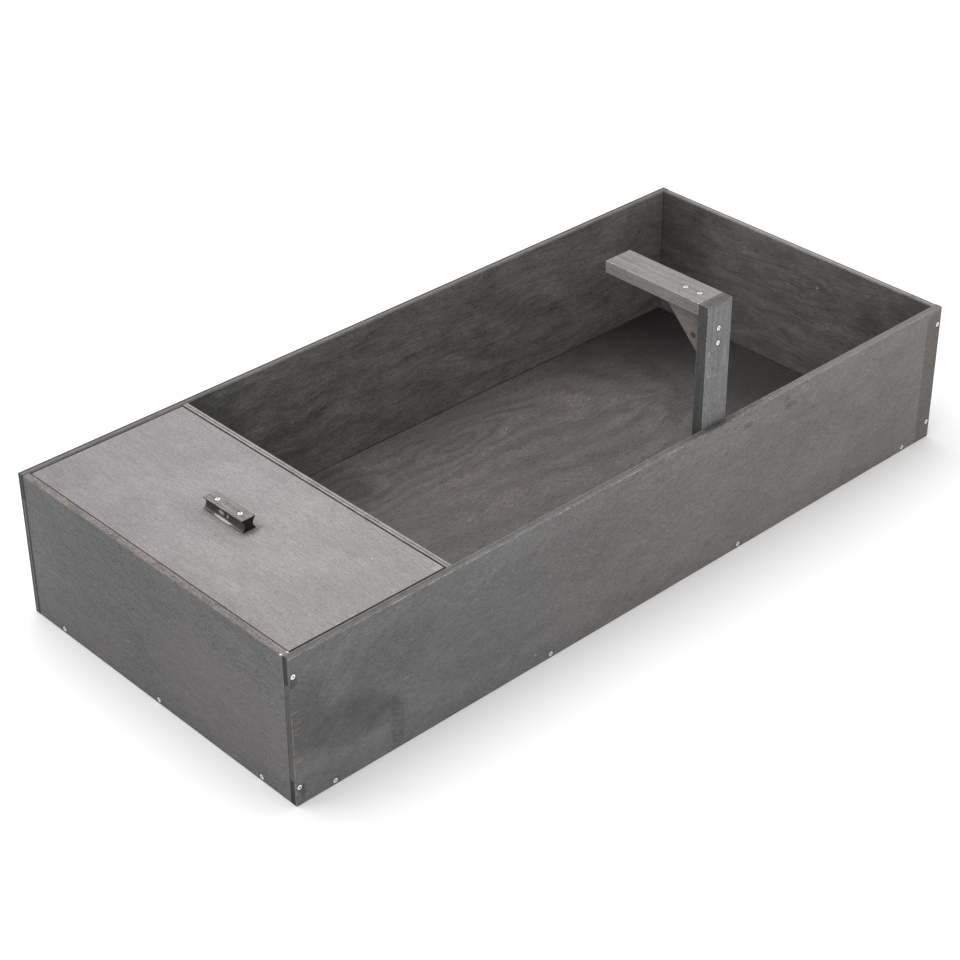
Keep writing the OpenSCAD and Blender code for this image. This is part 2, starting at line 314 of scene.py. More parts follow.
class Finish:
    """A material under construction, with short calls for the nodes that the finishes share."""

    def __init__(self, name):
        self.material = bpy.data.materials.new(name)
        self.material.use_nodes = True
        self.tree = self.material.node_tree
        self.tree.nodes.clear()
        self.place = self.add("TexCoord").outputs["Object"]

    def add(self, kind, *values, **settings):
        node = self.tree.nodes.new("ShaderNode" + kind)
        for key, value in settings.items():
            setattr(node, key, value)
        for socket, value in zip(node.inputs, values):
            self.put(socket, value)
        return node

    def put(self, socket, value):
        if isinstance(value, bpy.types.NodeSocket):
            self.tree.links.new(value, socket)
        elif value is not None:
            socket.default_value = value

    def math(self, operation, *values):
        return self.add("Math", *values, operation=operation).outputs[0]

    def vector(self, operation, *values):
        return self.add("VectorMath", *values, operation=operation).outputs[0]

    def total(self, *values):
        result = values[0]
        for value in values[1:]:
            result = self.math("ADD", result, value)
        return result

    def product(self, *values):
        result = values[0]
        for value in values[1:]:
            result = self.math("MULTIPLY", result, value)
        return result

    def rise(self, value, start, end):
        """A smooth step from 0 at the start to 1 at the end. The end may be the lower of the two."""
        if end < start:
            return self.math("SUBTRACT", 1.0, self.rise(value, end, start))
        step = self.add("MapRange", value, start, end, 0.0, 1.0, interpolation_type="SMOOTHSTEP")
        return step.outputs[0]

    def noise(self, vector, size, shift=0.0, detail=1.0, rough=0.5):
        """Noise whose lumps have a size in millimetres, the same all ways or one for each axis."""
        sizes = size if isinstance(size, tuple) else (size,) * 3
        scale = tuple(1 / (s * MM) for s in sizes)
        offset = (shift * 1.37 + 5.1, shift * 2.11 - 3.7, shift * 0.73 + 1.9)   # so no two are alike
        node = self.add("TexNoise")
        point = self.vector("MULTIPLY_ADD", vector, scale, offset)
        for name, value in (("Vector", point), ("Scale", 1.0), ("Detail", detail), ("Roughness", rough)):
            self.put(node.inputs[name], value)
        return node.outputs[0]

    def facing(self, way):
        """1 on the faces that look one way, such as +y or -x, and 0 on the others."""
        normal = self.add("SeparateXYZ", self.add("NewGeometry").outputs["Normal"]).outputs
        side = self.product(normal["xyz".index(way[1])], 1.0 if way[0] == "+" else -1.0)
        return self.rise(side, 0.55, 0.85)

    def lift(self, field, amount):
        """A noise field, centred on zero and made amount strong."""
        return self.product(self.math("SUBTRACT", field, 0.5), amount)

    def blend(self, share, first, second, way="MIX"):
        node = self.add("Mix", data_type="RGBA", blend_type=way, clamp_factor=True)
        colours = [s for s in node.inputs if s.type == "RGBA"]
        self.put(node.inputs[0], share)
        self.put(colours[0], first)
        self.put(colours[1], second)
        return [s for s in node.outputs if s.type == "RGBA"][0]

    def shaded(self, colour, shade):
        """The colour made lighter or darker by a number round 1."""
        grey = self.add("CombineXYZ", shade, shade, shade).outputs[0]
        return self.blend(1.0, colour, grey, "MULTIPLY")

    def darkened(self, colour, stain, strength):
        """The colour, darker by a strength under a mask: stains, and painted shade and shadows."""
        return self.shaded(colour, self.math("SUBTRACT", 1.0, self.product(stain, strength)))

    def ramp(self, value, stops):
        """A colour for each value from 0 to 1, from stops of (value, display colour)."""
        node = self.add("ValToRGB", value)
        elements = node.color_ramp.elements
        elements.remove(elements[1])
        elements[0].position = stops[0][0]
        elements[0].color = tone(*stops[0][1])
        for position, colour in stops[1:]:
            elements.new(position).color = tone(*colour)
        return node.outputs[0]

    def near(self, centre, half, ragged=0.5, soft=0.5, square=False):
        """1 round a place given in millimetres, out to half sizes, falling to 0 over a ragged edge."""
        offset = self.vector("SUBTRACT", self.place, tuple(c * MM for c in centre))
        offset = self.vector("DIVIDE", offset, tuple(h * MM for h in half))
        if square:
            sides = self.add("SeparateXYZ", self.vector("ABSOLUTE", offset)).outputs
            distance = self.math("MAXIMUM", self.math("MAXIMUM", sides[0], sides[1]), sides[2])
        else:
            distance = self.add("VectorMath", offset, operation="LENGTH").outputs["Value"]
        if ragged:
            wander = self.noise(self.place, max(0.6 * sorted(half)[1], 1.2), centre[0] + half[2], 2.0)
            distance = self.total(distance, self.lift(wander, 2 * ragged))
        return self.rise(distance, 1 + soft / 2, 1 - soft / 2)

    def close(self, colour, rough, height, bump_depth, **sockets):
        """The finished material. sockets are more of the shader's own settings, all over the same."""
        shader = self.add("BsdfPrincipled")
        self.put(shader.inputs["Base Color"], colour)
        self.put(shader.inputs["Roughness"], rough)
        for name, value in sockets.items():
            self.put(shader.inputs[name.replace("_", " ")], value)
        bump = self.add("Bump")
        self.put(bump.inputs["Height"], height)
        self.put(bump.inputs["Strength"], 1.0)
        self.put(bump.inputs["Distance"], bump_depth)
        self.put(shader.inputs["Normal"], bump.outputs[0])
        out = self.add("OutputMaterial")
        self.put(out.inputs["Surface"], shader.outputs[0])
        return self.material


# ------------------------------------------------------------------ the wood

# What a board's finish may say, and what it says otherwise. Sizes are in millimetres in the row frame.
PLAIN = dict(
    grain=X, thick=Z,       # the axes that the grain runs along and that the thickness lies on
    tones={},               # display colours of the faces, read where each face gets its colour: the stain, and painted light and shade on the faces that look one way
    rim=None,               # colours through the thickness, as seen on the board's edges
    rim_rough=1.0,          # how strongly the edges are marked
    worn=(150, 149, 148),   # the colour that rubbed arrises show
    raw=(190, 186, 182),    # the bare wood in chips
    fibre_tone=None,        # the lighter wood that shows between stained fibres
    wear=1.0,               # how much the arrises are rubbed
    boxy=True,              # whether the piece fills its box, so that depths in the box mean something
    swirl=6.0,              # how far the grain wanders
    fibre=0.5, dash=0.2, pore=0.2, grit=0.5, fuzz=0.3, cloud=0.45, wide=0.3,    # how strong each layer is
    stretch=1.0,            # how many times longer than usual the fibres are
    strokes=0.0, slant=32,  # brush strokes in the stain, and how many degrees they lean from the grain
    calm={},                # how strong the figure stays on the faces that look one way
    rings=0.0,              # how strong the growth rings are
    field=(0.0, 0.0, 0.0),  # rings across a metre of the board's width, and their slow and quick wander
    hills=(),               # what the rings go round: (along, across, half length, half width, count)
    ring_ground=1.0,        # how strong the rings stay away from those places
    darker=(),              # stains and painted shadows: (centre, half sizes, strength), and maybe an edge of its own in place of the default; below 0 paints paler patches and highlights
    painted=(),             # stains, dark joints and painted shade in corners, with straight sides: (centre, half sizes, strength)
    touches=(),             # patches of another colour: (centre, half sizes, display colour, strength)
    seed=0.0,               # what sets a board's figure apart from the others'
    rough=0.6)              # the surface's roughness

# The size of the lumps in each layer, in millimetres: along the grain, across it and into the board
DRIFT = 90
SLOW_RINGS = (320, 110, 110)
QUICK_RINGS = (26, 9, 9)
RING_PATCHES = (90, 60, 60)
FIBRE_LENGTH, FIBRE_WIDTH = 20, 1.5
DASHES = (7, 1.2, 1.2)
PORES = (6, 1.2, 1.2)
GRIT = 1.8
FUZZ = (9, 5, 5)
CLOUDS = (38, 20, 20)
WIDE_CLOUDS = (150, 70, 70)
STROKES = (60, 5, 5)

# The same for the marks on a board's edges and arrises. The hatching is long along the plies.
HATCH_LENGTH, HATCH_WIDTH = 14.0, 0.8
RUB = 26
SPOTS = 2.0
WORN_PATCHES = 40
CRUMBS = 4

# How ragged and how soft the edges of marks are
STAIN_AND_SHADE_EDGE = (0.9, 1.0)
PAINTED_EDGE = (0.0, 0.06)
TOUCH_EDGE = (0.7, 0.3)
COUNTERSINK_SHADE_EDGE = (0.25, 0.7)

COUNTERSINK_SHADE_REACH, COUNTERSINK_SHADE_DEPTH, COUNTERSINK_SHADE_STRENGTH = 4.6, 3.0, 0.22     # the ring of painted shade round a screw's countersink
ARRIS_BARE, ARRIS_WHOLE = 0.3 * MM, 0.85 * MM           # how far from the arris the stain is rubbed
PLIES_START, PLIES_FULL = 0.35 * MM, 0.65 * MM          # how far below the faces the plies show
CHIP_START, CHIP_FULL = 0.25 * MM, 0.4 * MM             # how far inside solid wood is bare in a chip
DUST_COLOUR = (205, 200, 195)
DUST_PER_METRE = 24.0                                   # the cells, of which a few hold a speck
FIGURE_DEPTH = 0.14 * MM


def growth_rings(f, look, u, v, local):
    """Growth rings as a wave from 0 to 1, and how strongly they show at each place.
    They are the contour lines of a slow field, so they close round its hills."""
    seed = look["seed"]
    per_metre, slow_wander, quick_wander = look["field"]
    field = f.total(
        f.product(v, per_metre),
        f.product(f.noise(local, SLOW_RINGS, seed + 1), slow_wander),
        f.product(f.noise(local, QUICK_RINGS, seed + 2, 2.0), quick_wander))
    hilly = 0.0
    for along, sideways, half_length, half_width, count in look["hills"]:
        du = f.product(f.math("SUBTRACT", u, along * MM), 1 / (half_length * MM))
        dv = f.product(f.math("SUBTRACT", v, sideways * MM), 1 / (half_width * MM))
        hill = f.math("DIVIDE", 1.0, f.total(1.0, f.product(du, du), f.product(dv, dv)))
        field = f.total(field, f.product(hill, float(count)))
        hilly = f.math("MAXIMUM", hilly, hill)
    wave = f.total(0.5, f.product(f.math("SINE", f.product(field, 2 * math.pi)), 0.5))
    showing = f.rise(f.noise(local, RING_PATCHES, seed + 3), 0.30, 0.52)
    ground = look["ring_ground"]
    if ground < 1:
        showing = f.product(showing, f.total(ground, f.product(f.rise(hilly, 0.25, 0.5), 1 - ground)))
    return wave, showing


def brush_strokes(f, look, u, v, w):
    """The strokes that a brush left in the stain."""
    lean = math.radians(look["slant"])
    along = f.total(f.product(u, math.cos(lean)), f.product(v, math.sin(lean)))
    aside = f.total(f.product(v, math.cos(lean)), f.product(u, -math.sin(lean)))
    brush = f.add("CombineXYZ", along, aside, w).outputs[0]
    return f.noise(brush, STROKES, look["seed"] + 16, 2.0, 0.6)


def stain_and_painted_face_light(f, look, run):
    """The colour on each face of a board: its stain, with painted light and shade. run goes from 0 to 1
    along the grain.
    The tones are that of all faces, then those of the faces that look one way, lighter or darker to paint
    how light falls.
    Each tone is one colour, or a pair from end to end."""
    colour = None
    # the tones of the faces that look one way paint in light and shade
    for way, screen in look["tones"].items():
        pair = screen if isinstance(screen[0], tuple) else (screen, screen)
        stain = f.blend(run, tone(*pair[0]), tone(*pair[1]))
        if way:
            colour = f.blend(f.facing(way), colour, stain)
        else:
            colour = stain
    return colour


def depths_under_faces(f, parts, low, high):
    """How far a point is inside its board's box, measured along each axis."""
    depths = []
    for k in range(3):
        from_middle = f.math("ABSOLUTE", f.math("SUBTRACT", parts[k], (low[k] + high[k]) / 2))
        depths.append(f.math("SUBTRACT", (high[k] - low[k]) / 2, from_middle))
    return depths


def with_plies(f, look, colour, through, depth):
    """The colour, with the plies on the board's edges. through goes from 0 to 1 across the thickness."""
    seed = look["seed"]
    hatch_size = tuple(HATCH_WIDTH if k == look["thick"] else HATCH_LENGTH for k in range(3))
    hatch = f.noise(f.place, hatch_size, seed + 11, 2.0, 0.6)
    plies = f.ramp(f.total(through, f.lift(hatch, 0.25)), look["rim"])
    rub = f.noise(f.place, RUB, seed + 12, 3.0, 0.6)
    spots = f.noise(f.place, SPOTS, seed + 13)
    marks = f.total(f.lift(hatch, 0.8), f.lift(rub, 0.6), f.lift(spots, 1.0))
    edge_shade = f.total(1.0, f.product(marks, look["rim_rough"]))
    on_edge = f.rise(depth, PLIES_START, PLIES_FULL)
    return f.blend(on_edge, colour, f.shaded(plies, edge_shade))


def with_rubbed_arrises(f, look, colour, depths):
    """The colour, rubbed through along the arrises, and bare where a chip is out of solid wood."""
    a, b, c = depths
    smaller, larger = f.math("MINIMUM", a, b), f.math("MAXIMUM", a, b)
    to_arris = f.math("MAXIMUM", smaller, f.math("MINIMUM", larger, c))
    patches = f.rise(f.noise(f.place, WORN_PATCHES, look["seed"] + 14, 4.0, 0.65), 0.44, 0.62)
    crumbs = f.rise(f.noise(f.place, CRUMBS, look["seed"] + 15), 0.3, 0.6)
    line = f.rise(to_arris, ARRIS_WHOLE, ARRIS_BARE)
    rubbed = f.product(line, f.total(0.25, f.product(patches, 0.6)), crumbs, look["wear"])
    colour = f.blend(rubbed, colour, tone(*look["worn"]))
    if not look["rim"]:
        inside = f.rise(f.math("MINIMUM", smaller, c), CHIP_START, CHIP_FULL)
        colour = f.blend(f.product(inside, 0.9), colour, tone(*look["raw"]))
    return colour


def with_marks(f, look, colour, low, high):
    """The colour, with painted shade round each screw, the board's stains and patches, and painted shadows
    and highlights.
    """
    for screw in ALL_SCREWS:
        if all(low[k] - 0.5 * MM <= screw.head[k] <= high[k] + 0.5 * MM for k in range(3)):
            # painted shade round the screw's countersink
            half = [COUNTERSINK_SHADE_DEPTH if k == screw.axis else COUNTERSINK_SHADE_REACH for k in range(3)]
            colour = f.darkened(colour, f.near(screw.head / MM, half, *COUNTERSINK_SHADE_EDGE), COUNTERSINK_SHADE_STRENGTH)
    # stains, painted shadows, and with a strength below 0 paler patches and painted highlights
    for centre, half, strength, *edge in look["darker"]:
        colour = f.darkened(colour, f.near(centre, half, *(edge or STAIN_AND_SHADE_EDGE)), strength)
    for centre, half, strength in look["painted"]:
        colour = f.darkened(colour, f.near(centre, half, *PAINTED_EDGE, square=True), strength)
    for centre, half, screen, strength in look["touches"]:
        patch = f.near(centre, half, *TOUCH_EDGE)
        colour = f.blend(f.product(patch, strength), colour, tone(*screen))
    return colour


def with_dust(f, look, colour):
    """The colour, with a few specks of dust."""
    seed = look["seed"]
    specks = f.add("TexVoronoi", feature="F1")
    place = f.vector("MULTIPLY_ADD", f.place, (DUST_PER_METRE,) * 3, (seed, -seed, seed))
    f.put(specks.inputs["Vector"], place)
    f.put(specks.inputs["Scale"], 1.0)
    chosen = f.rise(f.add("SeparateColor", specks.outputs["Color"]).outputs[0], 0.86, 0.88)
    dust = f.product(f.rise(specks.outputs["Distance"], 0.030, 0.016), chosen)
    return f.blend(f.product(dust, 0.6), colour, tone(*DUST_COLOUR))


def stained_wood(node, **look):
    """Stained wood for one board, from the settings in PLAIN."""
    look = {**PLAIN, **look}
    f = Finish(node + "_finish")
    low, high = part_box(node)
    grain, thick, seed = look["grain"], look["thick"], look["seed"]
    across = 3 - grain - thick
    parts = f.add("SeparateXYZ", f.place).outputs
    drift = f.lift(f.noise(f.place, DRIFT, seed, 2.0), look["swirl"] * 4 * MM)
    u, v, w = parts[grain], f.total(parts[across], drift), parts[thick]
    local = f.add("CombineXYZ", u, v, w).outputs[0]

    wave, showing = growth_rings(f, look, u, v, local)
    rings = f.math("SUBTRACT", f.math("POWER", wave, 1.8), 0.36)    # sharp dark lines, nearly 0 on average
    fibre_size = (FIBRE_LENGTH * look["stretch"], FIBRE_WIDTH, FIBRE_WIDTH)
    fibres = f.noise(local, fibre_size, seed + 4, 2.0, 0.6)
    dashes = f.rise(f.noise(local, DASHES, seed + 5, 0.0), 0.57, 0.72)
    pores = f.rise(f.noise(local, PORES, seed + 6, 0.0), 0.60, 0.76)
    grit = f.noise(local, GRIT, seed + 7)
    fuzz = f.noise(local, FUZZ, seed + 8)
    cloud = f.noise(local, CLOUDS, seed + 9, 3.0, 0.6)
    wide = f.noise(local, WIDE_CLOUDS, seed + 10)
    dashes = f.product(dashes, f.rise(cloud, 0.32, 0.6))
    if look["rings"]:
        dashes = f.product(dashes, f.math("SUBTRACT", 1.4, wave))
        rings = f.product(rings, f.total(0.3, f.product(fibres, 1.4)))
    shade = f.total(
        1.0, f.product(rings, showing, -look["rings"]),
        f.lift(fibres, look["fibre"]), f.product(dashes, look["dash"]), f.product(pores, -look["pore"]),
        f.lift(grit, look["grit"]), f.lift(fuzz, look["fuzz"]), f.lift(cloud, look["cloud"]),
        f.lift(wide, look["wide"]))
    if look["strokes"]:
        shade = f.total(shade, f.lift(brush_strokes(f, look, u, v, w), look["strokes"]))
    for way, strength in look["calm"].items():
        share = f.math("SUBTRACT", 1.0, f.product(f.facing(way), 1 - strength))
        shade = f.total(1.0, f.product(f.math("SUBTRACT", shade, 1.0), share))

    colour = stain_and_painted_face_light(f, look, f.rise(u, low[grain], high[grain]))
    if look["fibre_tone"]:
        lighter = f.product(dashes, f.rise(wide, 0.38, 0.62), 0.75)
        colour = f.blend(lighter, colour, tone(*look["fibre_tone"]))
    colour = f.shaded(colour, shade)
    depths = depths_under_faces(f, parts, low, high)
    if look["rim"]:
        through = f.product(f.math("SUBTRACT", parts[thick], low[thick]), 1 / (high[thick] - low[thick]))
        colour = with_plies(f, look, colour, through, depths[thick])
    if look["boxy"]:
        colour = with_rubbed_arrises(f, look, colour, depths)
    colour = with_marks(f, look, colour, low, high)
    colour = with_dust(f, look, colour)

    height = f.total(
        f.product(fibres, 0.6), f.product(grit, 0.4), f.product(pores, -0.8), f.product(rings, 0.1))
    gloss = f.total(look["rough"] - 0.12, f.product(cloud, 0.12), f.product(fibres, 0.12))
    return f.close(colour, gloss, height, FIGURE_DEPTH, Specular_IOR_Level=0.35)


# ------------------------------------------------------------------ the screws' plating

def zinc(name, light, dark, rough):
    """Zinc plate on a pressed steel screw: slightly dull, with a cloudy cast and fine turning marks."""
    f = Finish(name)
    cloud = f.noise(f.place, 1.1, 3.0, 3.0, 0.6)
    scuff = f.noise(f.place, (0.3, 0.4, 0.35), 5.0, 2.0, 0.6)
    colour = f.blend(f.rise(cloud, 0.35, 0.7), dark, light)
    gloss = f.total(rough, f.product(cloud, 0.16), f.product(scuff, 0.12))
    return f.close(colour, gloss, scuff, 0.02 * MM, Metallic=1.0)


# ------------------------------------------------------------------ the boards

def from_box(node, x, y, z):
    """A point in a node's box, in millimetres from its low sides, or if negative from its high sides."""
    low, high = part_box(node)
    return Vector([(low if d >= 0 else high)[k] + d * MM for k, d in enumerate((x, y, z))])


TOP = -0.01     # a distance from the highest face that puts a chip on it

# where each board is chipped: (place from the board's box, half sizes)
CHIPS = {
    "front_panel": [
        ((0, 0, 62), (0.9, 0.7, 2.6)),
        ((0, 0, 74), (0.7, 0.8, 1.5)),
        ((0, 0, 98), (1.0, 0.6, 1.2)),
        ((0, 0, 31), (0.8, 0.7, 1.6)),
        ((14, 9, TOP), (1.6, 0.9, 0.5)),
        ((268, 0, TOP), (5.0, 0.6, 0.5)),
        ((216, 0, TOP), (3.2, 0.5, 0.6)),
    ],
    "near_end_panel": [
        ((9, 3, TOP), (1.0, 1.4, 0.7)),
        ((0, 2, TOP), (0.8, 1.1, 0.8)),
        ((0, 171, TOP), (0.5, 2.2, 0.6)),
    ],
    "lid_panel": [
        ((TOP, 0, TOP), (1.3, 1.6, 0.5)),
    ],
    "lid_handle": [
        ((0, 30.6, 2), (1.3, 11.0, 1.5)),
        ((2.5, 36, 6.2), (0.9, 4.2, 2.6)),
        ((2.6, 25.2, 5.5), (0.8, 1.6, 2.0)),
        ((0, 1.5, 0.8), (1.6, 4.0, 1.0)),
        ((0, 44, TOP), (0.7, 2.0, 0.7)),
    ],
    "bracket_arm": [
        ((0, -9, TOP), (0.9, 1.5, 0.9)),
        ((0, -32, TOP), (0.5, 1.5, 0.5)),
        ((0, 1, TOP), (2.6, 0.9, 0.7)),
        ((0, 44, TOP), (0.4, 2.2, 0.4)),
    ],
    "bracket_post": [
        ((0, 0, -62), (0.5, 0.5, 1.6)),
        ((0, 0, -92), (0.8, 0.6, 2.2)),
    ],
}

BATTEN = dict(
    swirl=1.5, stretch=3.5,
    fibre=0.7, dash=0.12, pore=0.22, grit=0.35, fuzz=0.15, cloud=0.25, wide=0.1)
CLEAT = dict(BATTEN, grain=Y, thick=X, tones={"": (108, 105, 102)}, rings=0.1, field=(70.0, 3.0, 0.3))
WHITE_CHIP = (228, 226, 224)
RUST = (150, 122, 98)

